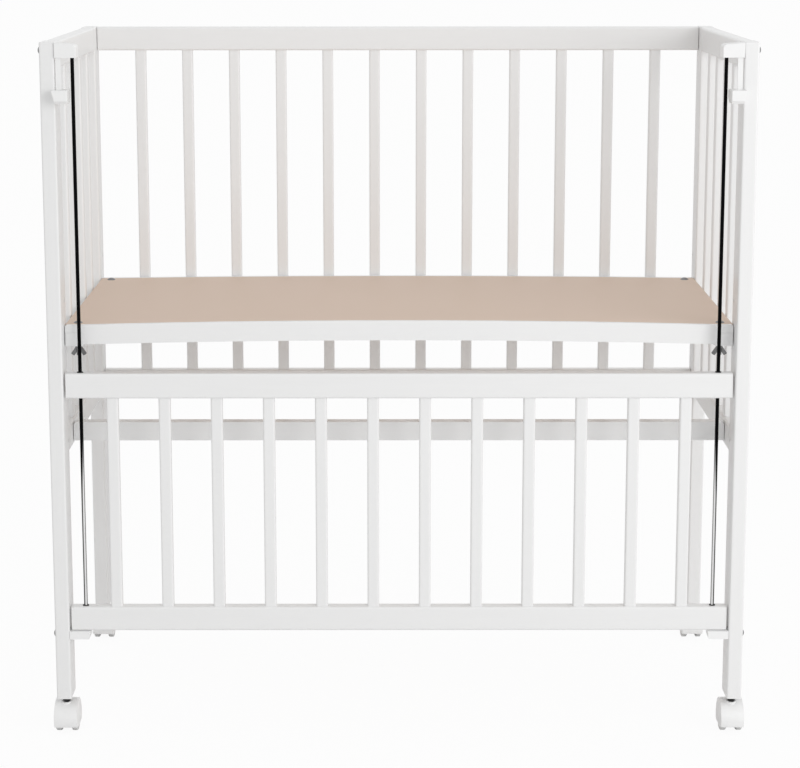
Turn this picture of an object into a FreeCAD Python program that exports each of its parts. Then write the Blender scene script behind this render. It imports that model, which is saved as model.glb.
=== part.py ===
# Bedside sleeper crib on four twin-wheel castors, with a drop side that slides on two steel rods.
# Millimetres. X runs along the crib, +Y to the back panel, +Z up, and the floor is Z = 0.
# The drop side is shown lowered. The origin is the middle of the whole crib's footprint.
import FreeCAD, Part

import math
import os

Vector = FreeCAD.Vector

# ---- frame ---------------------------------------------------------------------------------------
CLEAR_LENGTH = 905.0        # between the left and the right posts: a 90 cm mattress and its play
FRAME_DEPTH = 454.0         # over the front and the rear posts
POST_WIDTH = 20.0
POST_DEPTH = 45.0
POST_BOTTOM = 55.0
POST_TOP = 956.5
POST_ROUND = 2.5
POST_TOP_ROUND = 1.5
RAIL_HEIGHT = 35.0
TOP_RAIL_DROP = 0.5         # of the top rails below the tops of the posts
LOWER_RAIL_BOTTOM = 396.0
RAIL_ROUND = 3.0
BACK_RAIL_THICKNESS = 18.0
BACK_RAIL_INSET = 3.3       # from the rear faces of the rear posts
RAIL_END_GAP = 0.8          # between the ends of a bolted rail and the posts
TENON_DEPTH = 10.0          # of every slat in its rail

# ---- slats ---------------------------------------------------------------------------------------
SLAT_WIDTH = 16.0
SLAT_THICKNESS = 12.0
SLAT_ROUND = 2.5
BACK_SLAT_COUNT = 12
BACK_SLAT_MARGIN = 64.75     # from the posts to the middle of the first slat
END_SLAT_COUNT = 4
END_SLAT_MARGIN = 68.0      # from the posts to the middle of the first slat

# ---- drop side -----------------------------------------------------------------------------------
DROP_RAIL_THICKNESS = 18.0
DROP_RAIL_SETBACK = 4.0     # of the drop side behind the front faces of the posts
DROP_END_GAP = 2.9
DROP_TOP_RAIL_HEIGHT = 34.4
DROP_BOTTOM_RAIL_HEIGHT = 33.5
DROP_SIDE_HEIGHT = 360.4
REST_GAP = 0.3              # under a rail that lies on its stop

# ---- stretcher -----------------------------------------------------------------------------------
STRETCHER_BOTTOM = 402.0
STRETCHER_HEIGHT = 26.0
STRETCHER_THICKNESS = 18.0
STRETCHER_SETBACK = 83.0
STRETCHER_CORNER = 5.0

# ---- mattress base -------------------------------------------------------------------------------
BASE_TOP = 575.5            # at its ends; the middle is crowned
BASE_FRONT_CROWN = 5.5
BASE_REAR_CROWN = 3.0
BASE_SETBACK = 25.0         # behind the front faces of the posts
BASE_REAR_GAP = 0.7         # before the back panel
BOARD_THICKNESS = 6.0
BOARD_LIP = 7.0             # of the strips and crossbars, in front of and behind the board
STRIP_HEIGHT = 26.5
STRIP_THICKNESS = 18.0
CROSSBAR_WIDTH = 24.0
CROSSBAR_HEIGHT = 11.0
SUPPORT_HEIGHT = 18.0
SUPPORT_REAR_GAP = 2.0      # from the rear faces of the rear posts
BASE_SIDE_GAP = 1.0         # to the posts
BASE_BAR_ROUND = 2.5
BASE_BAR_EDGE = 0.7         # the small rounding where a crossbar lies on its support

# ---- base fasteners ------------------------------------------------------------------------------
BASE_BOLT_SETBACK = 44.0    # from the front and the rear faces of the posts
BASE_BOLT_INSET = 16.5      # from the inner faces of the posts
BASE_BOLT_RADIUS = 3.0
BASE_BOLT_TIP = 14.0        # below the washer
BOLT_NECK = 4.0
DOME_RADIUS = 6.3
DOME_HEIGHT = 3.0
WASHER_RADIUS = 8.0
WASHER_THICKNESS = 1.5
WING_HUB_RADIUS = 4.6
WING_HUB_TIP_RADIUS = 4.0
WING_HUB_HEIGHT = 8.0
WING_DROOP = 55.0           # degrees below the horizontal
WING_LENGTH = 15.0          # from the axis of the bolt
WING_WIDTH = 5.4
WING_THICKNESS = 2.4
WING_ROOT_DROP = 1.2        # of the wings' middle line at the axis, below the washer
WING_ROUND = 1.2
SCREW_RADIUS = 2.5
SCREW_HEAD_RADIUS = 4.5
SCREW_REACH = 14.0          # into the post
FRONT_HOLE_SETBACK = 35.0   # of the base's screws, from the front faces of the posts
REAR_HOLE_INSET = 10.0      # of the base's screws, from the rear faces of the posts
SPARE_HOLE_RADIUS = 3.0
SPARE_HOLE_DEPTH = 12.0
SPARE_HOLE_STEP = 52.5      # from the used height to the higher one
LOWER_HOLE_HEIGHT = 413.5   # of the unused hole low in the front posts

# ---- frame fasteners -----------------------------------------------------------------------------
BOLT_CLEARANCE = 0.25
PANEL_BOLT_RADIUS = 3.0
PANEL_BOLT_LENGTH = 58.0
PANEL_BOLT_HEAD_RADIUS = 6.0
PANEL_BOLT_HEAD = 5.0
PANEL_BOLT_RECESS = 1.0     # of the head below the post's face
PANEL_SOCKET_RADIUS = 2.0
PANEL_SOCKET_DEPTH = 2.5
PANEL_BOLT_RISE = 4.0       # of the bolt over the middle of a back rail
BARREL_RADIUS = 5.0
BARREL_LENGTH = 14.0
BARREL_SLOT_WIDTH = 1.4
BARREL_SLOT_DEPTH = 1.5
BARREL_REACH = 28.0         # from the end of the rail to the barrel nut
DOWEL_RADIUS = 4.0
DOWEL_LENGTH = 30.0
DOWEL_SPREAD = 10.0         # up and down from the middle of a rail
BACK_DOWEL_DEPTH = 12.0     # in the post

# ---- guides and catches --------------------------------------------------------------------------
ROD_RADIUS = 2.5
ROD_INSET = 21.7            # from the inner faces of the posts
ROD_SETBACK = 13.0
ROD_SEAT = 9.0              # of the rod in the bottom bracket
RUNNING_CLEARANCE = 0.05
BUSH_RADIUS = 3.4
BUSH_FLANGE_RADIUS = 4.2
BUSH_FLANGE = 1.0
BRACKET_LENGTH = 28.5
BRACKET_REAR = 24.0
BRACKET_PROUD = 2.0         # of the top bracket, in front of the posts
TOP_BRACKET_DROP = 20.3     # of its underside below the tops of the posts
TOP_BRACKET_HEIGHT = 17.0
TOP_BRACKET_RISE = 2.3      # of its top, towards the post
TOP_BRACKET_ROUND = 5.0
BOTTOM_BRACKET_TOP = 152.0
BOTTOM_BRACKET_HEIGHT = 11.0
BOTTOM_BRACKET_TAPER = 1.5
BRACKET_EDGE = 0.8
BRACKET_BOLT_RADIUS = 3.0
BRACKET_BOLT_HEAD_RADIUS = 6.3
BRACKET_BOLT_HEAD = 3.2
BRACKET_BOLT_END = 4.0      # short of the rod's axis
BRACKET_BOLT_SOCKET = 2.0
BRACKET_BOLT_SOCKET_DEPTH = 2.2
TOP_BRACKET_BOLT_RISE = 9.3
BOTTOM_BRACKET_BOLT_DROP = 5.5
CATCH_GAP = 0.3             # of the catch's foot and groove to their neighbours
CATCH_WIDTH = 7.0
CATCH_INSET = 1.4           # of the tongue from the post
TONGUE_FRONT = 0.2
TONGUE_THICKNESS = 2.8
BEAD_RADIUS = 2.2
BEAD_RISE = 3.0             # of the bead's axis over the bracket's underside
CATCH_SWING = 14.0          # degrees forward, which frees the rail
CATCH_DROP = 41.7           # of the foot's top below the top bracket
CATCH_HEIGHT = 17.5
CATCH_REACH = 22.0          # in front of the posts
CATCH_LEDGE = 8.0           # of the foot under the raised top rail
CATCH_RAMP = 7.0
CATCH_FOOT_WIDTH = 18.2
CATCH_LUG = 2.4             # of the foot's front half, over the post's face
CATCH_TAPER = 4.6           # of the foot's outer side, down its height
CATCH_ROUND = 4.0
CATCH_EDGE = 1.0

# ---- castors -------------------------------------------------------------------------------------
WHEEL_RADIUS = 20.0
TREAD_THICKNESS = 3.0
TREAD_CHAMFER = 1.0
WHEEL_WIDTH = 7.6
WHEEL_OFFSET = 11.0         # of each wheel's middle from the castor's middle
WHEEL_DISH = 2.0
WHEEL_DISH_RADIUS = 13.0
WHEEL_BOSS_RADIUS = 5.5
WHEEL_SIDE_GAP = 0.7
WHEEL_RIM_GAP = 2.2
AXLE_RADIUS = 2.5
TRAIL = 8.0
HOOD_WALL = 3.4             # round the wheels
HOOD_END_WALL = 1.9
HOOD_SHOULDER = 1.8         # of the hood's rounded ends, along the axle
HOOD_SHOULDER_DROP = 13.0   # of the same, towards the axle
HOOD_CROWN = 0.4            # of the hood's back, in its middle
HOOD_BOTTOM = 11.0
HOOD_BOSS_RADIUS = 6.4
HOOD_SEAT_DROP = 1.6        # of the stem's seat below the hood's top
STEM_RADIUS = 4.0
STEM_DEPTH = 20.0           # of the stem below its seat on the hood
STEM_REACH = 28.0           # of the stem in the post
STEM_COLLAR = 8.4           # across its flats
STEM_COLLAR_GAP = 0.3
SOCKET_RADIUS = 6.0
SOCKET_LENGTH = 30.0
TOLERANCE = 0.01            # for picking edges by their place

# ---- places that follow from the sizes -----------------------------------------------------------
RAIL_TOP = POST_TOP - TOP_RAIL_DROP
INNER_X = CLEAR_LENGTH / 2.0
POST_X = INNER_X + POST_WIDTH / 2.0
STEM_SETBACK = POST_DEPTH / 2.0
HOOD_RADIUS = WHEEL_RADIUS + WHEEL_RIM_GAP + HOOD_WALL
HOOD_HALF = WHEEL_OFFSET + WHEEL_WIDTH / 2.0 + WHEEL_SIDE_GAP + HOOD_END_WALL
HOOD_TOP = WHEEL_RADIUS + HOOD_RADIUS
HOOD_SEAT = HOOD_TOP - HOOD_SEAT_DROP
REARMOST = FRAME_DEPTH - STEM_SETBACK + TRAIL + HOOD_RADIUS
FRONT_Y = (CATCH_REACH - REARMOST) / 2.0
REAR_Y = FRONT_Y + FRAME_DEPTH
RAIL_FRONT_Y = FRONT_Y + POST_DEPTH
RAIL_REAR_Y = REAR_Y - POST_DEPTH
BACK_PANEL_Y = REAR_Y - BACK_RAIL_INSET - BACK_RAIL_THICKNESS / 2.0
DROP_Y = FRONT_Y + DROP_RAIL_SETBACK + DROP_RAIL_THICKNESS / 2.0
DROP_BOTTOM = BOTTOM_BRACKET_TOP + REST_GAP
DROP_TOP = DROP_BOTTOM + DROP_SIDE_HEIGHT
DROP_HALF = INNER_X - DROP_END_GAP
SUPPORT_TOP = BASE_TOP - CROSSBAR_HEIGHT
SUPPORT_BOTTOM = SUPPORT_TOP - SUPPORT_HEIGHT
SCREW_Z = SUPPORT_BOTTOM + SUPPORT_HEIGHT / 2.0
BASE_HALF = INNER_X - BASE_SIDE_GAP
STRIP_HALF = BASE_HALF - CROSSBAR_WIDTH
BASE_FRONT_Y = FRONT_Y + BASE_SETBACK
BASE_REAR_Y = BACK_PANEL_Y - BACK_RAIL_THICKNESS / 2.0 - BASE_REAR_GAP
BASE_BOLT_X = INNER_X - BASE_BOLT_INSET
BASE_BOLT_YS = (FRONT_Y + BASE_BOLT_SETBACK, REAR_Y - BASE_BOLT_SETBACK)
SCREW_YS = (FRONT_Y + FRONT_HOLE_SETBACK, REAR_Y - REAR_HOLE_INSET)
ROD_X = INNER_X - ROD_INSET
ROD_Y = FRONT_Y + ROD_SETBACK
TOP_BRACKET_BOTTOM = POST_TOP - TOP_BRACKET_DROP
CATCH_TOP = TOP_BRACKET_BOTTOM - CATCH_DROP
TOP_BOLT_Z = TOP_BRACKET_BOTTOM + TOP_BRACKET_BOLT_RISE
BOTTOM_BOLT_Z = BOTTOM_BRACKET_TOP - BOTTOM_BRACKET_BOLT_DROP
HINGE_Y = FRONT_Y + TONGUE_FRONT + TONGUE_THICKNESS / 2.0
HINGE_Z = TOP_BRACKET_BOTTOM + BEAD_RISE
BACK_SLAT_PITCH = (CLEAR_LENGTH - 2 * BACK_SLAT_MARGIN) / (BACK_SLAT_COUNT - 1)
END_SLAT_PITCH = (RAIL_REAR_Y - RAIL_FRONT_Y - 2 * END_SLAT_MARGIN) / (END_SLAT_COUNT - 1)
BACK_RAIL_BOTTOMS = (LOWER_RAIL_BOTTOM, RAIL_TOP - RAIL_HEIGHT)
BACK_HALF = INNER_X - RAIL_END_GAP
STRETCHER_Y = FRONT_Y + STRETCHER_SETBACK + STRETCHER_THICKNESS / 2.0
STEM_YS = (FRONT_Y + STEM_SETBACK, REAR_Y - STEM_SETBACK)
ALONG_X = Vector(1, 0, 0)
ALONG_Y = Vector(0, 1, 0)
ALONG_Z = Vector(0, 0, 1)

nodes = {}


def block(x0, x1, y0, y1, z0, z1):
    """A box between two corners."""
    corner = Vector(min(x0, x1), min(y0, y1), min(z0, z1))
    return Part.makeBox(abs(x1 - x0), abs(y1 - y0), abs(z1 - z0), corner)


def pin(radius, start, direction, length):
    """A round bar from start along direction."""
    return Part.makeCylinder(radius, length, start, direction)


def domed_head(radius, height, start, direction):
    """The cap of a sphere, standing on start."""
    ball_radius = (radius ** 2 + height ** 2) / (2 * height)
    ball = Part.makeSphere(ball_radius, start + direction * (height - ball_radius))
    return ball.common(pin(radius, start, direction, height))


def rounded(shape, radius, direction):
    """The straight edges along direction, rounded."""
    edges = []
    for edge in shape.Edges:
        if isinstance(edge.Curve, Part.Line) and edge.Curve.Direction.cross(direction).Length < 1e-6:
            edges.append(edge)
    return shape.makeFillet(radius, edges)


def mirrored(shape):
    """The same piece for the right-hand side."""
    return shape.mirror(Vector(0, 0, 0), ALONG_X)


def extruded(points, direction):
    """A closed outline pushed along direction."""
    outline = Part.makePolygon([Vector(*point) for point in points + points[:1]])
    return Part.Face(outline).extrude(direction)


def both_sides(solids):
    """Solids of the left side with their mirror images."""
    return solids + [mirrored(solid) for solid in solids]


def keep(name, shape):
    """One node: a solid, or a list of separate solids."""
    nodes[name] = Part.makeCompound(shape) if isinstance(shape, list) else shape


def keep_pair(name, left):
    """A left-hand piece and its mirror image."""
    keep(name + "_left", left)
    keep(name + "_right", mirrored(left))


def slat(x, y, z0, z1, width, thickness):
    """An upright slat with rounded edges, with its tenons in the rails above and below."""
    bar = block(x - width / 2, x + width / 2, y - thickness / 2, y + thickness / 2,
                z0 - TENON_DEPTH, z1 + TENON_DEPTH)
    return rounded(bar, SLAT_ROUND, ALONG_Z)


def row_of_slats(y, z0, z1):
    """The slats of the back panel or of the drop side, evenly spaced about the middle."""
    return [slat(-INNER_X + BACK_SLAT_MARGIN + BACK_SLAT_PITCH * k, y, z0, z1, SLAT_WIDTH, SLAT_THICKNESS)
            for k in range(BACK_SLAT_COUNT)]


def without(shape, tools):
    """A piece with the room for others cut out of it."""
    for tool in tools:
        shape = shape.cut(tool)
    return shape


# ---- fasteners of the frame ----------------------------------------------------------------------
def panel_bolt(y, z):
    """A socket-headed bolt through a left post or rail, along X."""
    head_x = -INNER_X - POST_WIDTH + PANEL_BOLT_RECESS
    head = pin(PANEL_BOLT_HEAD_RADIUS, Vector(head_x, y, z), ALONG_X, PANEL_BOLT_HEAD)
    shank = pin(PANEL_BOLT_RADIUS, Vector(head_x, y, z), ALONG_X, PANEL_BOLT_LENGTH)
    socket = pin(PANEL_SOCKET_RADIUS, Vector(head_x, y, z), ALONG_X, PANEL_SOCKET_DEPTH)
    return head.fuse(shank).cut(socket).removeSplitter()


def panel_bolt_hole(y, z):
    """The clearance hole and the recess for one panel bolt."""
    face_x = -INNER_X - POST_WIDTH
    recess = pin(PANEL_BOLT_HEAD_RADIUS + BOLT_CLEARANCE, Vector(face_x, y, z), ALONG_X,
                 PANEL_BOLT_RECESS + PANEL_BOLT_HEAD)
    hole = pin(PANEL_BOLT_RADIUS + BOLT_CLEARANCE, Vector(face_x, y, z), ALONG_X,
               PANEL_BOLT_RECESS + PANEL_BOLT_LENGTH + BOLT_CLEARANCE)
    return recess.fuse(hole)


def barrel_nut(y, z):
    """The cross nut that the panel bolt screws into, slotted on the side that shows."""
    x = -INNER_X + BARREL_REACH
    start = Vector(x, y - BARREL_LENGTH / 2, z)
    nut = pin(BARREL_RADIUS, start, ALONG_Y, BARREL_LENGTH)
    thread = pin(PANEL_BOLT_RADIUS, Vector(x - 2 * BARREL_RADIUS, y, z), ALONG_X, 4 * BARREL_RADIUS)
    slot_side = y + BARREL_LENGTH / 2
    slot = block(x - BARREL_RADIUS, x + BARREL_RADIUS, slot_side - BARREL_SLOT_DEPTH, slot_side,
                 z - BARREL_SLOT_WIDTH / 2, z + BARREL_SLOT_WIDTH / 2)
    return without(nut, [thread, slot])


def barrel_hole(y, z):
    """The blind hole of a barrel nut, open to the rear."""
    start = Vector(-INNER_X + BARREL_REACH, y - BARREL_LENGTH / 2, z)
    return pin(BARREL_RADIUS, start, ALONG_Y, BARREL_LENGTH + BACK_RAIL_THICKNESS)


BACK_BOLT_ZS = [bottom + RAIL_HEIGHT / 2 + PANEL_BOLT_RISE for bottom in BACK_RAIL_BOTTOMS]
STRETCHER_BOLT_Z = STRETCHER_BOTTOM + STRETCHER_HEIGHT / 2
PANEL_BOLT_PLACES = [(BACK_PANEL_Y, z) for z in BACK_BOLT_ZS] + [(STRETCHER_Y, STRETCHER_BOLT_Z)]
panel_bolts = [panel_bolt(y, z) for y, z in PANEL_BOLT_PLACES]
panel_holes = [panel_bolt_hole(y, z) for y, z in PANEL_BOLT_PLACES]
barrel_nuts = [barrel_nut(y, z) for y, z in PANEL_BOLT_PLACES]
barrel_holes = [barrel_hole(y, z) for y, z in PANEL_BOLT_PLACES]
keep("panel_bolts", both_sides(panel_bolts))
keep("barrel_nuts", both_sides(barrel_nuts))


# ---- dowels --------------------------------------------------------------------------------------
def end_rail_dowels():
    """Glued dowels of the left end panel, along Y, half in the post and half in the rail."""
    dowels = []
    for bottom in BACK_RAIL_BOTTOMS:
        for side_y in (RAIL_FRONT_Y, RAIL_REAR_Y):
            for step in (-DOWEL_SPREAD, DOWEL_SPREAD):
                start = Vector(-POST_X, side_y - DOWEL_LENGTH / 2, bottom + RAIL_HEIGHT / 2 + step)
                dowels.append(pin(DOWEL_RADIUS, start, ALONG_Y, DOWEL_LENGTH))
    return dowels


def back_rail_dowels():
    """One locating dowel below each bolt of the back panel, along X."""
    dowels = []
    for bottom in BACK_RAIL_BOTTOMS:
        start = Vector(-INNER_X - BACK_DOWEL_DEPTH, BACK_PANEL_Y, bottom + RAIL_HEIGHT / 2 - DOWEL_SPREAD)
        dowels.append(pin(DOWEL_RADIUS, start, ALONG_X, DOWEL_LENGTH))
    return dowels


dowels = end_rail_dowels() + back_rail_dowels()
keep("frame_dowels", both_sides(dowels))


# ---- base fasteners ------------------------------------------------------------------------------
def base_bolt(y):
    """A carriage bolt with a domed head and a square neck, down through base and support."""
    head = domed_head(DOME_RADIUS, DOME_HEIGHT, Vector(-BASE_BOLT_X, y, BASE_TOP), ALONG_Z)
    neck = block(-BASE_BOLT_X - BASE_BOLT_RADIUS, -BASE_BOLT_X + BASE_BOLT_RADIUS,
                 y - BASE_BOLT_RADIUS, y + BASE_BOLT_RADIUS, BASE_TOP - BOLT_NECK, BASE_TOP)
    tip_z = SUPPORT_BOTTOM - WASHER_THICKNESS - BASE_BOLT_TIP
    shank = pin(BASE_BOLT_RADIUS, Vector(-BASE_BOLT_X, y, tip_z), ALONG_Z, BASE_TOP - tip_z)
    return head.fuse(neck).fuse(shank).removeSplitter()


def washer(y):
    """A plain washer under the support bar."""
    start = Vector(-BASE_BOLT_X, y, SUPPORT_BOTTOM - WASHER_THICKNESS)
    disc = pin(WASHER_RADIUS, start, ALONG_Z, WASHER_THICKNESS)
    return disc.cut(pin(BASE_BOLT_RADIUS + BOLT_CLEARANCE, start, ALONG_Z, WASHER_THICKNESS))


def wing(axis_top, side):
    """One wing of a nut: a rounded blade that droops from the axis to the left or to the right."""
    droop = math.radians(WING_DROOP)
    outward = Vector(side * math.cos(droop), 0, -math.sin(droop))
    across = Vector(side * math.sin(droop), 0, math.cos(droop)) * (WING_WIDTH / 2)
    root = axis_top - ALONG_Z * WING_ROOT_DROP - ALONG_Y * (WING_THICKNESS / 2)
    tip = root + outward * WING_LENGTH
    blade = extruded([root + across, tip + across, tip - across, root - across], ALONG_Y * WING_THICKNESS)
    return rounded(blade, WING_ROUND, ALONG_Y)


def wing_nut(y):
    """A wing nut under its washer, its wings drooping along the crib."""
    top = Vector(-BASE_BOLT_X, y, SUPPORT_BOTTOM - WASHER_THICKNESS)
    nut = Part.makeCone(WING_HUB_RADIUS, WING_HUB_TIP_RADIUS, WING_HUB_HEIGHT, top, -ALONG_Z)
    for side in (-1, 1):
        nut = nut.fuse(wing(top, side))
    above = block(top.x - WING_LENGTH, top.x + WING_LENGTH, y - WING_LENGTH, y + WING_LENGTH,
                  top.z, top.z + WING_LENGTH)
    return without(nut, [above, pin(BASE_BOLT_RADIUS, top, -ALONG_Z, WING_LENGTH)])


def support_screw(y):
    """A countersunk screw that holds the support bar to a left post."""
    start = Vector(-STRIP_HALF, y, SCREW_Z)
    head = Part.makeCone(SCREW_HEAD_RADIUS, SCREW_RADIUS, SCREW_HEAD_RADIUS - SCREW_RADIUS,
                         start, -ALONG_X)
    length = CROSSBAR_WIDTH + BASE_SIDE_GAP + SCREW_REACH
    return head.fuse(pin(SCREW_RADIUS, start, -ALONG_X, length)).removeSplitter()


base_bolts = [base_bolt(y) for y in BASE_BOLT_YS]
support_screws = [support_screw(y) for y in SCREW_YS]
keep("base_bolts", both_sides(base_bolts))
keep("base_washers", both_sides([washer(y) for y in BASE_BOLT_YS]))
keep("wing_nuts", both_sides([wing_nut(y) for y in BASE_BOLT_YS]))
keep("support_screws", both_sides(support_screws))


# ---- bolts of the guide brackets -----------------------------------------------------------------
def bracket_bolt(z):
    """A domed bolt through a left front post into a bracket."""
    face_x = -INNER_X - POST_WIDTH
    length = POST_WIDTH + ROD_INSET - BRACKET_BOLT_END
    shank = pin(BRACKET_BOLT_RADIUS, Vector(face_x, ROD_Y, z), ALONG_X, length)
    head = domed_head(BRACKET_BOLT_HEAD_RADIUS, BRACKET_BOLT_HEAD, Vector(face_x, ROD_Y, z), -ALONG_X)
    socket = pin(BRACKET_BOLT_SOCKET, Vector(face_x - BRACKET_BOLT_HEAD, ROD_Y, z), ALONG_X,
                 BRACKET_BOLT_SOCKET_DEPTH)
    return head.fuse(shank).cut(socket).removeSplitter()


bracket_bolts = [bracket_bolt(z) for z in (TOP_BOLT_Z, BOTTOM_BOLT_Z)]
keep("bracket_bolts", both_sides(bracket_bolts))


# ---- sockets and stems of the castors ------------------------------------------------------------
def castor_socket(y):
    """A threaded insert in the end of a left post."""
    start = Vector(-POST_X, y, POST_BOTTOM)
    thread = pin(STEM_RADIUS, start, ALONG_Z, SOCKET_LENGTH)
    return pin(SOCKET_RADIUS, start, ALONG_Z, SOCKET_LENGTH).cut(thread)


def castor_stem(y):
    """The stem of a castor: screwed into the socket, with a hexagon collar over the hood."""
    collar_bottom = HOOD_SEAT + STEM_COLLAR_GAP
    foot = Vector(-POST_X, y, HOOD_SEAT - STEM_DEPTH)
    stem = pin(STEM_RADIUS, foot, ALONG_Z, POST_BOTTOM + STEM_REACH - foot.z)
    corner_radius = STEM_COLLAR / math.sqrt(3.0)
    corners = []
    for k in range(6):
        angle = math.radians(60 * k)
        corners.append((-POST_X + corner_radius * math.cos(angle), y + corner_radius * math.sin(angle),
                        collar_bottom))
    collar = extruded(corners, Vector(0, 0, POST_BOTTOM - collar_bottom))
    return stem.fuse(collar).removeSplitter()


keep("castor_sockets", both_sides([castor_socket(y) for y in STEM_YS]))
keep("castor_stems", both_sides([castor_stem(y) for y in STEM_YS]))


# ---- posts ---------------------------------------------------------------------------------------
def plain_post(y0):
    """A left post with rounded edges and the hole for a castor's socket."""
    post = block(-INNER_X - POST_WIDTH, -INNER_X, y0, y0 + POST_DEPTH, POST_BOTTOM, POST_TOP)
    post = rounded(post, POST_ROUND, ALONG_Z)
    top_edges = [edge for edge in post.Edges if edge.BoundBox.ZMin > POST_TOP - TOLERANCE]
    post = post.makeFillet(POST_TOP_ROUND, top_edges)
    socket_hole = pin(SOCKET_RADIUS, Vector(-POST_X, y0 + STEM_SETBACK, POST_BOTTOM), ALONG_Z,
                      SOCKET_LENGTH)
    return post.cut(socket_hole)


def spare_hole(y, z):
    """A blind hole in the inner face of a left post."""
    return pin(SPARE_HOLE_RADIUS, Vector(-INNER_X, y, z), -ALONG_X, SPARE_HOLE_DEPTH)


bracket_bolt_holes = [pin(BRACKET_BOLT_RADIUS + BOLT_CLEARANCE, Vector(-INNER_X - POST_WIDTH, ROD_Y, z),
                          ALONG_X, POST_WIDTH) for z in (TOP_BOLT_Z, BOTTOM_BOLT_Z)]
front_spares = [spare_hole(SCREW_YS[0], z) for z in (LOWER_HOLE_HEIGHT, SCREW_Z + SPARE_HOLE_STEP)]
rear_spares = [spare_hole(SCREW_YS[1], SCREW_Z + SPARE_HOLE_STEP)]
keep_pair("front_post", without(plain_post(FRONT_Y), dowels + support_screws + front_spares
                                + bracket_bolt_holes))
keep_pair("rear_post", without(plain_post(RAIL_REAR_Y), dowels + support_screws + rear_spares
                               + panel_holes))


# ---- end panels ----------------------------------------------------------------------------------
END_RAIL_TOPS = (LOWER_RAIL_BOTTOM + RAIL_HEIGHT, RAIL_TOP)
end_slats = [slat(-POST_X, RAIL_FRONT_Y + END_SLAT_MARGIN + END_SLAT_PITCH * k, END_RAIL_TOPS[0],
                  END_RAIL_TOPS[1] - RAIL_HEIGHT, SLAT_WIDTH, SLAT_WIDTH) for k in range(END_SLAT_COUNT)]


def end_rail(top):
    """A rail between the left posts, glued on dowels, with the slats let into it."""
    rail = block(-INNER_X - POST_WIDTH, -INNER_X, RAIL_FRONT_Y, RAIL_REAR_Y, top - RAIL_HEIGHT, top)
    return without(rounded(rail, RAIL_ROUND, ALONG_Y), end_slats + dowels + panel_holes)


keep_pair("end_lower_rail", end_rail(END_RAIL_TOPS[0]))
keep_pair("end_top_rail", end_rail(END_RAIL_TOPS[1]))
keep_pair("end_slats", Part.makeCompound(end_slats))


# ---- back panel ----------------------------------------------------------------------------------
back_slats = row_of_slats(BACK_PANEL_Y, LOWER_RAIL_BOTTOM + RAIL_HEIGHT, RAIL_TOP - RAIL_HEIGHT)
back_cuts = back_slats + both_sides(back_rail_dowels() + panel_holes + barrel_holes)


def back_rail(bottom):
    """A rail of the back panel between the rear posts."""
    rail = block(-BACK_HALF, BACK_HALF, BACK_PANEL_Y - BACK_RAIL_THICKNESS / 2,
                 BACK_PANEL_Y + BACK_RAIL_THICKNESS / 2, bottom, bottom + RAIL_HEIGHT)
    return without(rounded(rail, RAIL_ROUND, ALONG_X), back_cuts)


keep("back_lower_rail", back_rail(BACK_RAIL_BOTTOMS[0]))
keep("back_top_rail", back_rail(BACK_RAIL_BOTTOMS[1]))
keep("back_slats", back_slats)


# ---- stretcher -----------------------------------------------------------------------------------
def stretcher():
    """The bar that ties the two end panels together near the front."""
    top = STRETCHER_BOTTOM + STRETCHER_HEIGHT
    bar = block(-BACK_HALF, BACK_HALF, STRETCHER_Y - STRETCHER_THICKNESS / 2,
                STRETCHER_Y + STRETCHER_THICKNESS / 2, STRETCHER_BOTTOM, top)
    ends = [edge for edge in bar.Edges
            if edge.BoundBox.ZMin > top - TOLERANCE and edge.BoundBox.XLength < TOLERANCE]
    bar = bar.makeFillet(STRETCHER_CORNER, ends)
    return without(bar, both_sides(panel_holes[-1:] + barrel_holes[-1:]))


keep("stretcher", stretcher())


# ---- mattress base -------------------------------------------------------------------------------
def crowned_outline(half_length, y, crown, top, height, flat=0.0):
    """A closed upright outline at y, with parallel crowned edges and flat ends."""
    wire_edges = []
    inner = half_length - flat
    for z, sign in ((top, 1), (top - height, -1)):
        left = Vector(-sign * inner, y, z)
        right = Vector(sign * inner, y, z)
        arc = Part.Arc(left, Vector(0, y, z + crown), right).toShape()
        outer = Vector(-sign * half_length, y, z)
        if flat:
            wire_edges.append(Part.makeLine(outer, left))
        wire_edges.append(arc)
        if flat:
            wire_edges.append(Part.makeLine(right, Vector(sign * half_length, y, z)))
        corner = Vector(sign * half_length, y, z)
        wire_edges.append(Part.makeLine(corner, corner - ALONG_Z * (sign * height)))
    return Part.Wire(wire_edges)


def base_board(rise=0.0):
    """The thin board, crowned a little more at the front than at the rear; rise lifts its top only."""
    front = crowned_outline(BASE_HALF, BASE_FRONT_Y + BOARD_LIP, BASE_FRONT_CROWN, BASE_TOP + rise,
                            BOARD_THICKNESS + rise, CROSSBAR_WIDTH)
    rear = crowned_outline(BASE_HALF, BASE_REAR_Y - BOARD_LIP, BASE_REAR_CROWN, BASE_TOP + rise,
                           BOARD_THICKNESS + rise, CROSSBAR_WIDTH)
    return Part.makeLoft([front, rear], True, True)


def base_strip(y0, crown, rebate):
    """A crowned strip along the front or the rear of the base, rebated for the board."""
    outline = crowned_outline(STRIP_HALF, y0, crown, BASE_TOP, STRIP_HEIGHT)
    strip = Part.Face(outline).extrude(Vector(0, STRIP_THICKNESS, 0))
    return strip.cut(rebate)


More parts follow.
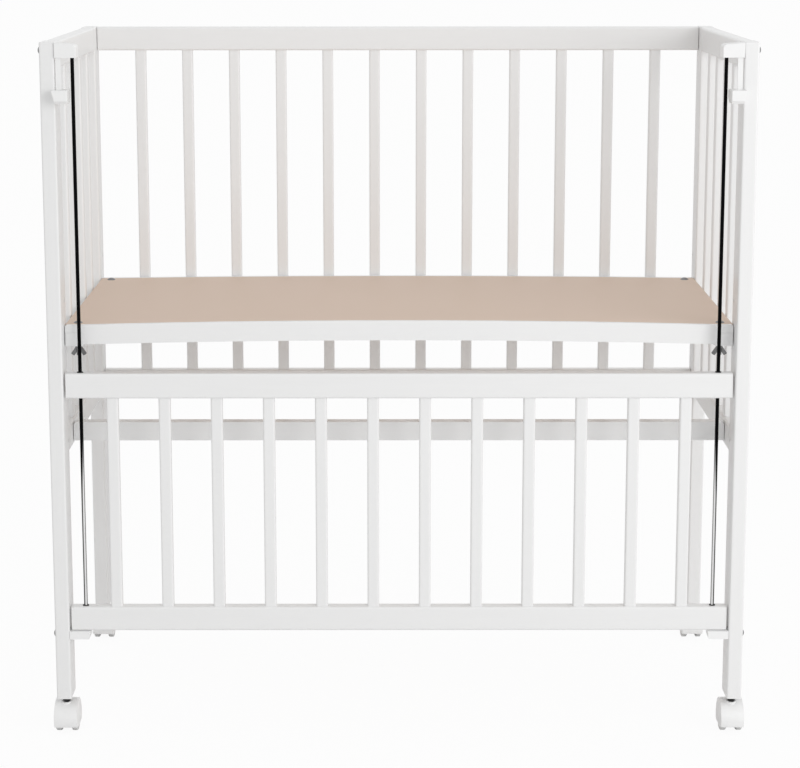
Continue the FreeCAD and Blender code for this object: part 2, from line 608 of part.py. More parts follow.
def base_bar(bottom, top, rear_y, outer_round, seam_z):
    """A bar under the left end of the base, rounded along its outer top edge and, in front, at the
    seam with the other bar."""
    bar = block(-BASE_HALF, -STRIP_HALF, BASE_FRONT_Y, rear_y, bottom, top)
    outer_top = [edge for edge in bar.Edges
                 if edge.BoundBox.XMax < -BASE_HALF + TOLERANCE and edge.BoundBox.ZMin > top - TOLERANCE]
    bar = bar.makeFillet(outer_round, outer_top)
    seam = [edge for edge in bar.Edges
            if edge.BoundBox.YMax < BASE_FRONT_Y + TOLERANCE and edge.BoundBox.ZMax < seam_z + TOLERANCE
            and edge.BoundBox.ZMin > seam_z - TOLERANCE]
    return bar.makeFillet(BASE_BAR_EDGE, seam)


board_rebate = base_board(BOARD_THICKNESS)
base_bolt_tools = [pin(BASE_BOLT_RADIUS + BOLT_CLEARANCE, Vector(-BASE_BOLT_X, y, 0), ALONG_Z, BASE_TOP)
                   for y in BASE_BOLT_YS] + base_bolts
crossbar = base_bar(SUPPORT_TOP, BASE_TOP, BASE_REAR_Y, BASE_BAR_ROUND, SUPPORT_TOP)
crossbar = without(crossbar, [board_rebate] + base_bolt_tools)
support = base_bar(SUPPORT_BOTTOM, SUPPORT_TOP, REAR_Y - SUPPORT_REAR_GAP, BASE_BAR_EDGE, SUPPORT_TOP)
support = without(support, base_bolt_tools + support_screws)
keep("base_board", without(base_board(), both_sides(base_bolts)))
keep("base_front_strip", base_strip(BASE_FRONT_Y, BASE_FRONT_CROWN, board_rebate))
keep("base_rear_strip", base_strip(BASE_REAR_Y - STRIP_THICKNESS, BASE_REAR_CROWN, board_rebate))
keep_pair("base_crossbar", crossbar)
keep_pair("base_support", support)


# ---- guide rods and brackets ---------------------------------------------------------------------
rod_bottom = BOTTOM_BRACKET_TOP - ROD_SEAT
rod_top = TOP_BRACKET_BOTTOM + TOP_BRACKET_HEIGHT - BRACKET_BOLT_END
guide_rod = pin(ROD_RADIUS, Vector(-ROD_X, ROD_Y, rod_bottom), ALONG_Z, rod_top - rod_bottom)
keep_pair("guide_rod", guide_rod)


def top_bracket():
    """The moulded top bracket of the left rod, with the groove that the catch hangs in."""
    front = FRONT_Y - BRACKET_PROUD
    inner = -INNER_X + BRACKET_LENGTH
    top = TOP_BRACKET_BOTTOM + TOP_BRACKET_HEIGHT
    outline = [(-INNER_X, front, TOP_BRACKET_BOTTOM), (inner, front, TOP_BRACKET_BOTTOM),
               (inner, front, top), (-INNER_X, front, top + TOP_BRACKET_RISE)]
    bracket = extruded(outline, Vector(0, BRACKET_PROUD + BRACKET_REAR, 0))
    corner = [edge for edge in bracket.Edges
              if edge.BoundBox.YLength > TOLERANCE and edge.BoundBox.XMin > inner - TOLERANCE
              and edge.BoundBox.ZMin > TOP_BRACKET_BOTTOM + TOLERANCE]
    bracket = bracket.makeFillet(TOP_BRACKET_ROUND, corner)
    front_edges = [edge for edge in bracket.Edges
                   if edge.BoundBox.YMax < front + TOLERANCE
                   and edge.BoundBox.ZMax > TOP_BRACKET_BOTTOM + TOLERANCE]
    bracket = bracket.makeFillet(BRACKET_EDGE, front_edges)
    tongue_x = -INNER_X + CATCH_INSET + CATCH_WIDTH + CATCH_GAP
    groove = pin(BEAD_RADIUS + RUNNING_CLEARANCE, Vector(-INNER_X, HINGE_Y, HINGE_Z), ALONG_X,
                 tongue_x + INNER_X)
    swing = math.radians(CATCH_SWING)
    mouth_front = HINGE_Y - TONGUE_THICKNESS / 2 / math.cos(swing) - BEAD_RISE * math.tan(swing)
    mouth = block(-INNER_X, tongue_x, mouth_front - 2 * RUNNING_CLEARANCE,
                  HINGE_Y + TONGUE_THICKNESS / 2 + 2 * RUNNING_CLEARANCE, TOP_BRACKET_BOTTOM, HINGE_Z)
    return without(bracket, [groove, mouth, guide_rod] + bracket_bolts)


def bottom_bracket():
    """The low bracket that carries the left rod and stops the lowered drop side."""
    bottom = BOTTOM_BRACKET_TOP - BOTTOM_BRACKET_HEIGHT
    inner = -INNER_X + BRACKET_LENGTH
    outline = [(-INNER_X, FRONT_Y, bottom), (inner - BOTTOM_BRACKET_TAPER, FRONT_Y, bottom),
               (inner, FRONT_Y, BOTTOM_BRACKET_TOP), (-INNER_X, FRONT_Y, BOTTOM_BRACKET_TOP)]
    bracket = extruded(outline, Vector(0, BRACKET_REAR, 0))
    edges = [edge for edge in bracket.Edges
             if edge.BoundBox.XMax > -INNER_X + TOLERANCE and edge.BoundBox.ZMax < BOTTOM_BRACKET_TOP - TOLERANCE
             and edge.BoundBox.XLength < TOLERANCE]
    bracket = bracket.makeFillet(2 * BRACKET_EDGE, edges)
    return without(bracket, [guide_rod] + bracket_bolts)


keep_pair("top_bracket", top_bracket())
keep_pair("bottom_bracket", bottom_bracket())


# ---- catches -------------------------------------------------------------------------------------
def catch_foot(outer, outer_low, inner, front, rear, low_ends):
    """A block of the foot between two depths, its outer side drawn in towards the bottom."""
    bottom = CATCH_TOP - CATCH_HEIGHT
    end = extruded([(outer, rear, CATCH_TOP), (outer_low, rear, bottom), (inner, rear, bottom),
                    (inner, rear, CATCH_TOP)], Vector(0, front - rear, 0))
    side = extruded([(outer, front, bottom + low_ends[0]), (outer, front, CATCH_TOP),
                     (outer, rear, CATCH_TOP), (outer, rear, bottom + low_ends[1]),
                     (outer, rear - low_ends[1], bottom), (outer, front + low_ends[0], bottom)],
                    Vector(inner - outer, 0, 0))
    return end.common(side)


def catch():
    """The left catch: a thin tongue on a bead, with a foot that the raised side stands on."""
    outer = -INNER_X + CATCH_GAP
    inner = outer + CATCH_FOOT_WIDTH
    tongue_x = -INNER_X + CATCH_INSET
    bead = pin(BEAD_RADIUS, Vector(tongue_x, HINGE_Y, HINGE_Z), ALONG_X, CATCH_WIDTH)
    tongue = block(tongue_x, tongue_x + CATCH_WIDTH, HINGE_Y - TONGUE_THICKNESS / 2,
                   HINGE_Y + TONGUE_THICKNESS / 2, CATCH_TOP - CATCH_HEIGHT / 2, HINGE_Z)
    front = FRONT_Y - CATCH_REACH
    middle = FRONT_Y - CATCH_GAP
    rear = FRONT_Y + DROP_RAIL_SETBACK + CATCH_LEDGE
    outer_low = outer - CATCH_LUG + CATCH_TAPER
    lug = catch_foot(outer - CATCH_LUG, outer_low, inner, front, middle, (CATCH_ROUND, 0))
    ledge = catch_foot(outer, outer_low, inner, middle, rear, (0, CATCH_RAMP))
    foot = lug.fuse(ledge).removeSplitter()
    inner_edges = [edge for edge in foot.Edges if edge.BoundBox.XMin > inner - TOLERANCE]
    foot = foot.makeFillet(CATCH_EDGE, inner_edges)
    return foot.fuse(tongue).fuse(bead).removeSplitter()


keep_pair("catch", catch())


# ---- drop side -----------------------------------------------------------------------------------
def bush(bottom, height):
    """A flanged plastic bush round the left rod, in a rail of the drop side."""
    start = Vector(-ROD_X, ROD_Y, bottom)
    sleeve = pin(BUSH_RADIUS, start, ALONG_Z, height)
    flange = pin(BUSH_FLANGE_RADIUS, Vector(-ROD_X, ROD_Y, bottom + height), ALONG_Z, BUSH_FLANGE)
    bore = pin(ROD_RADIUS + RUNNING_CLEARANCE, start, ALONG_Z, height + BUSH_FLANGE)
    return sleeve.fuse(flange).cut(bore)


def drop_rail(bottom, height, slats):
    """A rail of the drop side, drilled for the bushes at both ends."""
    rail = block(-DROP_HALF, DROP_HALF, DROP_Y - DROP_RAIL_THICKNESS / 2,
                 DROP_Y + DROP_RAIL_THICKNESS / 2, bottom, bottom + height)
    holes = both_sides([pin(BUSH_RADIUS, Vector(-ROD_X, ROD_Y, bottom), ALONG_Z, height)])
    return without(rounded(rail, RAIL_ROUND, ALONG_X), holes + slats)


drop_top_rail_bottom = DROP_TOP - DROP_TOP_RAIL_HEIGHT
drop_slats = row_of_slats(DROP_Y, DROP_BOTTOM + DROP_BOTTOM_RAIL_HEIGHT, drop_top_rail_bottom)
keep("drop_bottom_rail", drop_rail(DROP_BOTTOM, DROP_BOTTOM_RAIL_HEIGHT, drop_slats))
keep("drop_top_rail", drop_rail(drop_top_rail_bottom, DROP_TOP_RAIL_HEIGHT, drop_slats))
keep("drop_slats", drop_slats)
keep("rod_bushes", both_sides([bush(DROP_BOTTOM, DROP_BOTTOM_RAIL_HEIGHT),
                               bush(drop_top_rail_bottom, DROP_TOP_RAIL_HEIGHT)]))


# ---- castors -------------------------------------------------------------------------------------
def castor_drum(axle):
    """A closed drum round the axle, crowned in its middle and with rounded ends."""
    edge_radius = HOOD_RADIUS - HOOD_CROWN
    low_radius = edge_radius - HOOD_SHOULDER_DROP
    shoulder_x = HOOD_HALF - HOOD_SHOULDER
    shoulder_radius = (HOOD_SHOULDER ** 2 + HOOD_SHOULDER_DROP ** 2) / (2 * HOOD_SHOULDER)
    half_angle = math.asin(HOOD_SHOULDER_DROP / shoulder_radius) / 2
    middle_x = HOOD_HALF - shoulder_radius * (1 - math.cos(half_angle))
    middle_radius = low_radius + shoulder_radius * math.sin(half_angle)
    corners = ((HOOD_HALF, 0), (HOOD_HALF, low_radius), (middle_x, middle_radius), (shoulder_x, edge_radius))
    left = [axle + Vector(-x, 0, radius) for x, radius in corners]
    right = [axle + Vector(x, 0, radius) for x, radius in corners]
    outline = Part.Wire([Part.makeLine(left[0], left[1]),
                         Part.Arc(left[1], left[2], left[3]).toShape(),
                         Part.Arc(left[3], axle + ALONG_Z * HOOD_RADIUS, right[3]).toShape(),
                         Part.Arc(right[3], right[2], right[1]).toShape(),
                         Part.makeLine(right[1], right[0]),
                         Part.makeLine(right[0], left[0])])
    return Part.Face(outline).revolve(axle, ALONG_X, 360)


def castor_hood(x, y):
    """The moulded hood over both wheels, with a web between them and a boss for the stem."""
    axle = Vector(x, y + TRAIL, WHEEL_RADIUS)
    seat = Vector(x, y, HOOD_SEAT)
    hood = castor_drum(axle).fuse(pin(HOOD_BOSS_RADIUS, seat, -ALONG_Z, HOOD_SEAT - WHEEL_RADIUS))
    above = pin(HOOD_BOSS_RADIUS, seat, ALONG_Z, HOOD_RADIUS)
    below = block(x - HOOD_HALF, x + HOOD_HALF, axle.y - HOOD_RADIUS, axle.y + HOOD_RADIUS,
                  WHEEL_RADIUS - HOOD_RADIUS, HOOD_BOTTOM)
    web_half = WHEEL_OFFSET - WHEEL_WIDTH / 2 - WHEEL_SIDE_GAP
    wells = [pin(WHEEL_RADIUS + WHEEL_RIM_GAP, axle + ALONG_X * (side * web_half), ALONG_X * side,
                 WHEEL_WIDTH + 2 * WHEEL_SIDE_GAP) for side in (-1, 1)]
    stem_bore = pin(STEM_RADIUS + RUNNING_CLEARANCE, seat, -ALONG_Z, STEM_DEPTH + STEM_COLLAR_GAP)
    axle_bore = pin(AXLE_RADIUS + RUNNING_CLEARANCE, axle - ALONG_X * WHEEL_OFFSET, ALONG_X, 2 * WHEEL_OFFSET)
    return without(hood, [below, above, stem_bore, axle_bore] + wells)


def castor_wheel(x, y, side):
    """A dished wheel, pressed on the axle."""
    rim_radius = WHEEL_RADIUS - TREAD_THICKNESS
    axle_y = y + TRAIL
    middle = x + side * WHEEL_OFFSET
    disc = pin(rim_radius, Vector(middle - WHEEL_WIDTH / 2, axle_y, WHEEL_RADIUS), ALONG_X, WHEEL_WIDTH)
    outer_face = Vector(middle + side * WHEEL_WIDTH / 2, axle_y, WHEEL_RADIUS)
    dish = pin(WHEEL_DISH_RADIUS, outer_face, ALONG_X * -side, WHEEL_DISH)
    dish = dish.cut(pin(WHEEL_BOSS_RADIUS, outer_face, ALONG_X * -side, WHEEL_DISH))
    bore = pin(AXLE_RADIUS, Vector(middle - WHEEL_WIDTH / 2, axle_y, WHEEL_RADIUS), ALONG_X, WHEEL_WIDTH)
    return disc.cut(dish).cut(bore)


def castor_tread(x, y, side):
    """The soft tread round one wheel."""
    start = Vector(x + side * WHEEL_OFFSET - WHEEL_WIDTH / 2, y + TRAIL, WHEEL_RADIUS)
    ring = pin(WHEEL_RADIUS, start, ALONG_X, WHEEL_WIDTH)
    rim_edges = [edge for edge in ring.Edges if isinstance(edge.Curve, Part.Circle)]
    ring = ring.makeChamfer(TREAD_CHAMFER, rim_edges)
    return ring.cut(pin(WHEEL_RADIUS - TREAD_THICKNESS, start, ALONG_X, WHEEL_WIDTH))


for place, x, y in (("front_left", -POST_X, STEM_YS[0]), ("front_right", POST_X, STEM_YS[0]),
                    ("rear_left", -POST_X, STEM_YS[1]), ("rear_right", POST_X, STEM_YS[1])):
    axle_half = WHEEL_OFFSET + WHEEL_WIDTH / 2
    axle = pin(AXLE_RADIUS, Vector(x - axle_half, y + TRAIL, WHEEL_RADIUS), ALONG_X, 2 * axle_half)
    keep("castor_hood_" + place, castor_hood(x, y))
    keep("castor_axle_" + place, axle)
    keep("castor_wheels_" + place, [castor_wheel(x, y, side) for side in (-1, 1)])
    keep("castor_treads_" + place, [castor_tread(x, y, side) for side in (-1, 1)])

os.makedirs("parts", exist_ok=True)
for name, shape in nodes.items():
    shape.exportStep("parts/" + name + ".step")
print(len(nodes), "nodes")
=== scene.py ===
import bmesh
import bpy
import math
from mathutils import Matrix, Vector


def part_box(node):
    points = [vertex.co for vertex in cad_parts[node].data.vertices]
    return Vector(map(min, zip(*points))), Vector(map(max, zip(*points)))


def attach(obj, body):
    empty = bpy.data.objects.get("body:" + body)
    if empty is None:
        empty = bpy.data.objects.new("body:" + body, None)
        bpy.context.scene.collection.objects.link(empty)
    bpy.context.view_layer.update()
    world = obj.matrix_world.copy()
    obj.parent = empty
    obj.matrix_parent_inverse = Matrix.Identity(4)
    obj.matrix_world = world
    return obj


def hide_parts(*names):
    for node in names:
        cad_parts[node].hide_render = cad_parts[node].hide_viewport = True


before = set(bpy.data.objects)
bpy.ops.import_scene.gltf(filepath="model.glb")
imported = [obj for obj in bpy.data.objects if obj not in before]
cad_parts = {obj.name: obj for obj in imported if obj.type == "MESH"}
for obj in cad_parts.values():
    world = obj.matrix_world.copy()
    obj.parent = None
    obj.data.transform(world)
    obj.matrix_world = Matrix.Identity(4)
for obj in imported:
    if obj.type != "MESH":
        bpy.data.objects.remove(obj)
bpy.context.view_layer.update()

# ---- camera --------------------------------------------------------------------------------------
# The eye stands a little above the crib's top, three metres in front of it and a little left of its
# middle, and looks down at it; a small downward shift keeps the uprights nearly upright.
eye_distance = 2.9105
eye_height = 1.1127
eye_x = -0.0150
tilt = math.radians(10.24)
roll = math.radians(0.025)
front_face_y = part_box("front_post_left")[0].y
camera_data = bpy.data.cameras.new("eye")
camera_data.sensor_width = 36.0
camera_data.lens = 99.44
camera_data.shift_x = 0.0152
camera_data.shift_y = -0.08
camera = bpy.data.objects.new("eye", camera_data)
camera.location = (eye_x, front_face_y - eye_distance, eye_height)
camera.rotation_euler = (math.radians(90.0) - tilt, roll, 0.0)
bpy.context.scene.collection.objects.link(camera)
bpy.context.scene.camera = camera
bpy.context.scene.view_settings.view_transform = "Standard"


# ---- posts ---------------------------------------------------------------------------------------
# Four square-cut beech posts with lightly rounded edges, sprayed with white lacquer. The end rails
# are glued to them on dowels; bolts and screws pass through them. Their CAD solids are right, so
# each is welded into one smooth-shaded skin here.
class Value:
    """A node's output, written into sums and products like any number."""

    def __init__(self, nodes, socket):
        self.nodes = nodes
        self.socket = socket

    def math(self, operation, first, second):
        return self.nodes.node("ShaderNodeMath", {"operation": operation}, {0: first, 1: second})

    def __add__(self, other):
        return self.math("ADD", self, other)

    def __radd__(self, other):
        return self.math("ADD", other, self)

    def __sub__(self, other):
        return self.math("SUBTRACT", self, other)

    def __rsub__(self, other):
        return self.math("SUBTRACT", other, self)

    def __mul__(self, other):
        return self.math("MULTIPLY", self, other)

    def __rmul__(self, other):
        return self.math("MULTIPLY", other, self)

    def or_larger(self, other):
        return self.math("MAXIMUM", self, other)


class Nodes:
    """A node tree under construction."""

    def __init__(self, tree):
        self.tree = tree

    def feed(self, socket, value):
        """A link for a value that comes from a node, a plain value otherwise."""
        if isinstance(value, Value):
            value = value.socket
        if isinstance(value, bpy.types.NodeSocket):
            self.tree.links.new(value, socket)
        else:
            socket.default_value = value

    def node(self, kind, settings, inputs, output=0):
        """Any node: its settings first, then what its sockets hold, by name, number or
        identifier."""
        node = self.tree.nodes.new(kind)
        for name, value in settings.items():
            if name == "stops":
                ramp = node.color_ramp
                ramp.elements[0].position, ramp.elements[0].color = value[0]
                ramp.elements[1].position, ramp.elements[1].color = value[-1]
                for position, colour in value[1:-1]:
                    ramp.elements.new(position).color = colour
            else:
                setattr(node, name, value)
        sockets = {socket.identifier: socket for socket in node.inputs}
        for key, value in inputs.items():
            socket = sockets[key] if key in sockets else node.inputs[key]
            self.feed(socket, value)
        return Value(self, node.outputs[output])


class Finish(Nodes):
    """A material under construction, with its main shader."""

    def __init__(self, name, **constants):
        self.material = bpy.data.materials.new(name)
        self.material.use_nodes = True
        super().__init__(self.material.node_tree)
        self.shader = self.tree.nodes["Principled BSDF"]
        self.surface(**constants)

    def surface(self, **inputs):
        """Values, varying or not, for the main shader's sockets."""
        for socket, value in inputs.items():
            self.feed(self.shader.inputs[socket.replace("_", " ")], value)
        return self.material

    def place(self, stretch=(1.0, 1.0, 1.0)):
        """Object coordinates, in metres; a pattern runs long where the stretch is small."""
        point = self.node("ShaderNodeTexCoord", {}, {}, "Object")
        return self.node("ShaderNodeMapping", {}, {"Vector": point, "Scale": stretch})

    def noise(self, point, scale, detail=3.0, roughness=0.5):
        """Soft random values round 0.5."""
        inputs = {"Vector": point, "Scale": scale, "Detail": detail, "Roughness": roughness}
        return self.node("ShaderNodeTexNoise", {}, inputs)

    def blend(self, factor, first, second):
        """One colour into another."""
        inputs = {"Factor_Float": factor, "A_Color": first, "B_Color": second}
        colour_output = 2
        return self.node("ShaderNodeMix", {"data_type": "RGBA"}, inputs, colour_output)

    def bump(self, height, distance, strength):
        """A bumpy surface from a height; the distance, in metres, is that of a height of 1."""
        inputs = {"Height": height, "Distance": distance, "Strength": strength}
        return self.node("ShaderNodeBump", {}, inputs)


def lacquered(name, stretch):
    """White lacquer on beech: faint grain along the bar, a fine orange peel and dulled patches."""
    dulled = (0.84, 0.84, 0.838, 1.0)
    fresh = (0.89, 0.89, 0.888, 1.0)
    finish = Finish(name, Coat_Weight=0.25, Coat_Roughness=0.18, IOR=1.47)
    along = finish.place(stretch)
    grain = finish.noise(along, scale=260.0, detail=5.0, roughness=0.6)
    patches = finish.noise(along, scale=14.0, detail=2.0)
    peel = finish.noise(finish.place(), scale=900.0, detail=2.0)
    tone = finish.blend(grain * 0.5 + patches * 0.5, dulled, fresh)
    relief = finish.bump(grain * 0.7 + peel * 0.3, distance=0.00012, strength=0.35)
    return finish.surface(Base_Color=tone, Roughness=0.26 + patches * 0.16, Normal=relief)


def shade_softly(mesh):
    """Round corners shade smoothly while flat faces stay flat: each face's corner takes the normals
    of the faces round it that turn less than the limit, the larger faces counting for more."""
    soft_limit = math.cos(math.radians(35.0))
    mesh.shade_smooth()
    around = [[] for vertex in mesh.vertices]
    for face in mesh.polygons:
        for corner in face.vertices:
            around[corner].append(face)
    normals = []
    for face in mesh.polygons:
        for corner in face.vertices:
            total = Vector()
            for near in around[corner]:
                if near.normal.dot(face.normal) > soft_limit:
                    total += near.normal * near.area
            normals.append(total.normalized())
    mesh.normals_split_custom_set(normals)


def dressed(node, body, material):
    """A CAD piece's own shape, welded, with soft edges in the shading and its finish."""
    weld_distance = 0.000002
    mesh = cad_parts[node].data.copy()
    skin = bmesh.new()
    skin.from_mesh(mesh)
    bmesh.ops.remove_doubles(skin, verts=skin.verts, dist=weld_distance)
    skin.to_mesh(mesh)
    skin.free()
    mesh.materials.clear()
    mesh.materials.append(material)
    shade_softly(mesh)
    piece = bpy.data.objects.new(node + "_skin", mesh)
    bpy.context.scene.collection.objects.link(piece)
    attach(piece, body)
    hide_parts(node)


grain_stretch = 0.06
lacquer_upright = lacquered("white lacquer, upright", (1.0, 1.0, grain_stretch))
for side in ("left", "right"):
    for end in ("front", "rear"):
        dressed(end + "_post_" + side, "frame", lacquer_upright)


# ---- rails of the end panels ---------------------------------------------------------------------
# Wooden bars from the front post to the rear post, one at the top and one below the mattress base,
# glued on dowels and lacquered with the posts.
lacquer_deep = lacquered("white lacquer, front to back", (1.0, grain_stretch, 1.0))
for side in ("left", "right"):
    dressed("end_top_rail_" + side, "frame", lacquer_deep)
    dressed("end_lower_rail_" + side, "frame", lacquer_deep)


# ---- slats ---------------------------------------------------------------------------------------
# Upright wooden bars with rounded edges: four in each end, twelve in the back panel and twelve in
# the drop side, let into the rails and glued.
for side in ("left", "right"):
    dressed("end_slats_" + side, "frame", lacquer_upright)
dressed("back_slats", "frame", lacquer_upright)
dressed("drop_slats", "drop_side", lacquer_upright)


# ---- long rails and the stretcher ----------------------------------------------------------------
# Wooden bars along the crib. The back panel's rails and the stretcher are bolted between the ends;
# the drop side's rails slide on the guide rods.
lacquer_long = lacquered("white lacquer, along the crib", (grain_stretch, 1.0, 1.0))
for node in ("back_top_rail", "back_lower_rail", "stretcher"):
    dressed(node, "frame", lacquer_long)
for node in ("drop_top_rail", "drop_bottom_rail"):
    dressed(node, "drop_side", lacquer_long)


# ---- mattress base -------------------------------------------------------------------------------
# A thin, slightly crowned beige board in a white frame of strips and crossbars, bolted to a support
# bar at each end.
def board_finish():
    """Bare fine-grained board: faint lengthways grain, sandy and pinkish bands, a dry surface."""
    sandy = (0.69, 0.54, 0.432, 1.0)
    pinkish = (0.714, 0.559, 0.463, 1.0)
    pale = (0.757, 0.624, 0.519, 1.0)
    finish = Finish("beige board", IOR=1.45)
    lengthways = finish.place((0.08, 1.0, 1.0))
    front_to_back = finish.place((1.0, 0.25, 1.0))
    grain = finish.noise(lengthways, scale=420.0, detail=6.0, roughness=0.65)
    bands = finish.noise(front_to_back, scale=16.0, detail=2.0)
    tone = finish.blend(grain * 0.35, finish.blend(bands, sandy, pinkish), pale)
    relief = finish.bump(grain, distance=0.0001, strength=0.4)
    return finish.surface(Base_Color=tone, Roughness=0.55 + grain * 0.15, Normal=relief)


dressed("base_board", "frame", board_finish())
for node in ("base_front_strip", "base_rear_strip"):
    dressed(node, "frame", lacquer_long)
for side in ("left", "right"):
    dressed("base_crossbar_" + side, "frame", lacquer_deep)
    dressed("base_support_" + side, "frame", lacquer_deep)


# ---- bolts, screws and nuts ----------------------------------------------------------------------
# Zinc-plated steel: the base's carriage bolts with washers and wing nuts, the bolts of the panels
# and brackets, the support bars' screws, and the castors' sockets in the posts.
def zinc_finish():
    """Grey zinc plating, a little clouded."""
    dull = (0.16, 0.16, 0.165, 1.0)
    bright = (0.34, 0.34, 0.34, 1.0)
    finish = Finish("zinc-plated steel", Metallic=1.0)
    cloud = finish.noise(finish.place(), scale=220.0, detail=4.0, roughness=0.6)
    tone = finish.blend(cloud, dull, bright)
    relief = finish.bump(cloud, distance=0.00005, strength=0.3)
    return finish.surface(Base_Color=tone, Roughness=0.25 + cloud * 0.25, Normal=relief)


zinc = zinc_finish()
for node in ("base_bolts", "base_washers", "wing_nuts", "support_screws", "bracket_bolts",
             "panel_bolts", "barrel_nuts", "castor_sockets"):
    dressed(node, "frame", zinc)


# ---- dowels --------------------------------------------------------------------------------------
# Bare beech pegs, turned with the grain along them and glued out of sight in the joints between
# the posts and the end rails.
def beech_finish():
    """Bare beech with short darker flecks."""
    flecked = (0.46, 0.30, 0.17, 1.0)
    plain = (0.66, 0.48, 0.31, 1.0)
    finish = Finish("bare beech", Roughness=0.6)
    fleck = finish.noise(finish.place((0.3, 0.3, 1.0)), scale=500.0, detail=4.0, roughness=0.6)
    tone = finish.blend(fleck, flecked, plain)
    relief = finish.bump(fleck, distance=0.0001, strength=0.4)
    return finish.surface(Base_Color=tone, Normal=relief)


dressed("frame_dowels", "frame", beech_finish())


# ---- guide rods ----------------------------------------------------------------------------------
# Drawn steel rods that the drop side slides on, held in a plastic bracket at each end. Their colour
# carries painted reflections: painted dark above and painted pale lower down, with stripes along
# them.
def rod_finish():
    """Steel with painted reflections: dark above, pale below and higher up on the inner side, with
    a bright and a dark stripe.
    """
    # The near-black colour is a painted reflection of dark surroundings on the upper part of the
    # rod.
    painted_dark_reflection = (0.004, 0.004, 0.0045, 1.0)
    # Greys across the rod from its inner side outwards: a painted bright highlight stripe, then a
    # painted dark reflection stripe.
    reflection_greys_outward = ((0.0, 0.25), (0.14, 0.35), (0.26, 0.95),
                     (0.52, 0.95), (0.68, 0.09), (1.0, 0.16))
    # Heights, in metres, where the painted dark reflection above fades into the painted pale
    # reflection below.
    dark_reflection_above = 0.45
    pale_reflection_below = 0.40
    slant = 0.12
    fraying = 0.01
    inner, outer = (corner.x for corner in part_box("guide_rod_right"))
    finish = Finish("drawn steel rod", Metallic=1.0)
    point = finish.node("ShaderNodeTexCoord", {}, {}, "Object")
    sideways = finish.node("ShaderNodeSeparateXYZ", {}, {"Vector": point}, "X")
    height = finish.node("ShaderNodeSeparateXYZ", {}, {"Vector": point}, "Z")
    from_middle = finish.node("ShaderNodeMath", {"operation": "ABSOLUTE"}, {0: sideways})
    outward = (from_middle - inner) * (1.0 / (outer - inner))
    lines = finish.noise(finish.place((1.0, 1.0, 0.02)), scale=1500.0, detail=3.0, roughness=0.6)
    stops = [(place, (grey, grey, grey, 1.0)) for place, grey in reflection_greys_outward]
    # The painted reflection stripes, read across the rod from its inner side outwards.
    polish_and_painted_reflection = finish.node("ShaderNodeValToRGB", {"stops": stops}, {"Fac": outward})
    # Mix from the painted dark reflection above to the painted reflection stripes below; it slants,
    # so the pale part reaches higher on the inner side.
    painted_reflection_fade = finish.node("ShaderNodeMapRange", {}, {
        "Value": height + outward * slant + lines * fraying,
        "From Min": dark_reflection_above, "From Max": pale_reflection_below, "To Min": 0.0, "To Max": 1.0})
    tone = finish.blend(painted_reflection_fade, painted_dark_reflection, polish_and_painted_reflection)
    relief = finish.bump(lines, distance=0.00003, strength=0.3)
    return finish.surface(Base_Color=tone, Roughness=0.18 + lines * 0.16, Normal=relief)


rod_steel = rod_finish()
for side in ("left", "right"):
    dressed("guide_rod_" + side, "frame", rod_steel)


# ---- brackets and catches ------------------------------------------------------------------------
# White moulded plastic: the brackets are bolted through the front posts and hold the rods; a
# springy catch hangs on a bead in each top bracket.
def white_plastic_finish():
    """Smooth white moulding with a fine spark-eroded skin."""
    shaded = (0.88, 0.88, 0.878, 1.0)
    clean = (0.92, 0.92, 0.918, 1.0)
    finish = Finish("white moulded plastic", IOR=1.49)
    skin = finish.noise(finish.place(), scale=1400.0, detail=3.0, roughness=0.6)
    patches = finish.noise(finish.place(), scale=40.0, detail=2.0)
    tone = finish.blend(patches, shaded, clean)
    relief = finish.bump(skin, distance=0.00004, strength=0.4)
    return finish.surface(Base_Color=tone, Roughness=0.32 + patches * 0.12, Normal=relief)


white_plastic = white_plastic_finish()
for side in ("left", "right"):
    dressed("top_bracket_" + side, "frame", white_plastic)
    dressed("bottom_bracket_" + side, "frame", white_plastic)
    dressed("catch_" + side, "catch_" + side, white_plastic)


# ---- bushes --------------------------------------------------------------------------------------
# Dark plastic sleeves with a collar, pressed into the drop side's rails, which slide on them along
# the rods.
def bush_finish():
    """Dull dark plastic, polished a little where it rubs."""
    polish_and_painted_reflection = (0.015, 0.015, 0.017, 1.0)
    dull = (0.035, 0.035, 0.036, 1.0)
    finish = Finish("dark bush plastic")
    rub = finish.noise(finish.place(), scale=600.0)
    tone = finish.blend(rub, polish_and_painted_reflection, dull)
    return finish.surface(Base_Color=tone, Roughness=0.4 + rub * 0.2)


dressed("rod_bushes", "drop_side", bush_finish())


# ---- castors -------------------------------------------------------------------------------------
# Twin moulded wheels with pale treads, pressed on an axle in a white hood. The hood swivels on a
# dark steel stem, which sits in a socket in its post.
def dark_steel_finish():
    """Blackened steel with thin bright scuffs."""
    blackened = (0.012, 0.012, 0.013, 1.0)
    scuffed = (0.06, 0.06, 0.06, 1.0)
    finish = Finish("blackened steel", Metallic=1.0)
    scuff = finish.noise(finish.place(), scale=700.0, detail=4.0, roughness=0.7)
    tone = finish.blend(scuff, blackened, scuffed)
    return finish.surface(Base_Color=tone, Roughness=0.3 + scuff * 0.2)


def wheel_finish():
    """Light grey moulded plastic, faintly dusty."""
    grey = (0.70, 0.70, 0.70, 1.0)
    dusty = (0.80, 0.80, 0.795, 1.0)
    finish = Finish("grey wheel plastic")
    dust = finish.noise(finish.place(), scale=160.0, detail=4.0, roughness=0.6)
    tone = finish.blend(dust, grey, dusty)
    return finish.surface(Base_Color=tone, Roughness=0.45 + dust * 0.15)


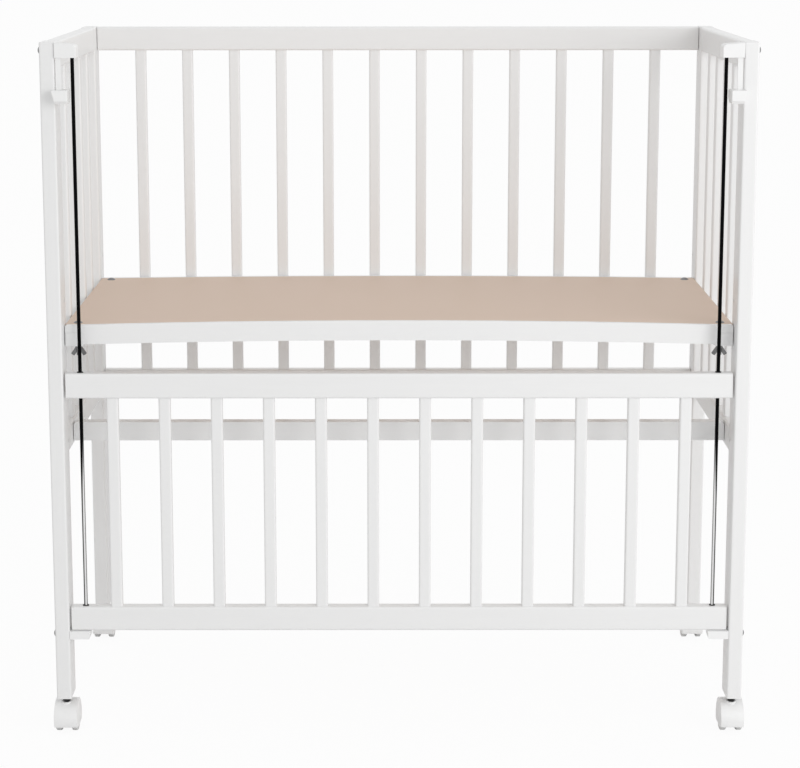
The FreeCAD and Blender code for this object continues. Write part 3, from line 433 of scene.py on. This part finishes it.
def tread_finish():
    """Soft pale tread with a scuffed, dusty surface."""
    scuffed = (0.62, 0.62, 0.615, 1.0)
    dusty = (0.76, 0.76, 0.755, 1.0)
    finish = Finish("pale soft tread")
    dust = finish.noise(finish.place(), scale=350.0, detail=5.0, roughness=0.65)
    tone = finish.blend(dust, scuffed, dusty)
    relief = finish.bump(dust, distance=0.0001, strength=0.4)
    return finish.surface(Base_Color=tone, Roughness=0.6 + dust * 0.2, Normal=relief)


dressed("castor_stems", "frame", dark_steel_finish())
wheel_plastic = wheel_finish()
tread_rubber = tread_finish()
for place in ("front_left", "front_right", "rear_left", "rear_right"):
    dressed("castor_hood_" + place, "castor_swivel_" + place, white_plastic)
    dressed("castor_axle_" + place, "castor_wheelset_" + place, zinc)
    dressed("castor_wheels_" + place, "castor_wheelset_" + place, wheel_plastic)
    dressed("castor_treads_" + place, "castor_wheelset_" + place, tread_rubber)


# ---- floor and light -----------------------------------------------------------------------------
# A pale seamless floor that keeps a faint shadow, an even white surround and one wide soft lamp in
# front on the right, so that the left sides of the bars are a little darker.
floor_reach = 60.0
floor_mesh = bpy.data.meshes.new("floor")
plane = bmesh.new()
bmesh.ops.create_grid(plane, x_segments=1, y_segments=1, size=floor_reach)
plane.to_mesh(floor_mesh)
plane.free()
floor = bpy.data.objects.new("floor", floor_mesh)
bpy.context.scene.collection.objects.link(floor)

white = (1.0, 1.0, 1.0, 1.0)
floor_white = (0.86, 0.86, 0.86, 1.0)
glow_share = 0.94
floor_finish = Finish("pale floor", Base_Color=floor_white, Roughness=0.9)
seen_directly = floor_finish.node("ShaderNodeLightPath", {}, {}, "Is Camera Ray")
glow = floor_finish.node("ShaderNodeEmission", {}, {"Color": white, "Strength": 1.0})
lit_floor = floor_finish.shader.outputs["BSDF"]
seen_floor = floor_finish.node("ShaderNodeMixShader", {}, {
    0: seen_directly * glow_share, 1: lit_floor, 2: glow})
floor_finish.feed(floor_finish.tree.nodes["Material Output"].inputs["Surface"], seen_floor)
floor_mesh.materials.append(floor_finish.material)

ambient = 0.73
surround = bpy.data.worlds.new("white surround")
surround.use_nodes = True
bpy.context.scene.world = surround
sky = Nodes(surround.node_tree)
direct_ray, mirrored_ray, refracted_ray = (
    sky.node("ShaderNodeLightPath", {}, {}, output)
    for output in ("Is Camera Ray", "Is Glossy Ray", "Is Transmission Ray"))
sky_strength = sky.node("ShaderNodeMapRange", {}, {
    "Value": direct_ray.or_larger(mirrored_ray).or_larger(refracted_ray),
    "To Min": ambient, "To Max": 1.0})
background = sky.tree.nodes["Background"]
sky.feed(background.inputs["Color"], white)
sky.feed(background.inputs["Strength"], sky_strength)

lamp_place = Vector((3.0, -3.3, 1.6))
lamp_target = Vector((0.0, 0.0, 0.5))
softbox = bpy.data.lights.new("softbox on the right", "AREA")
softbox.shape = "RECTANGLE"
softbox.size = 3.2
softbox.size_y = 2.4
softbox.energy = 66.0
lamp = bpy.data.objects.new("softbox on the right", softbox)
lamp.location = lamp_place
lamp.rotation_euler = (lamp_target - lamp_place).to_track_quat("-Z", "Y").to_euler()
bpy.context.scene.collection.objects.link(lamp)
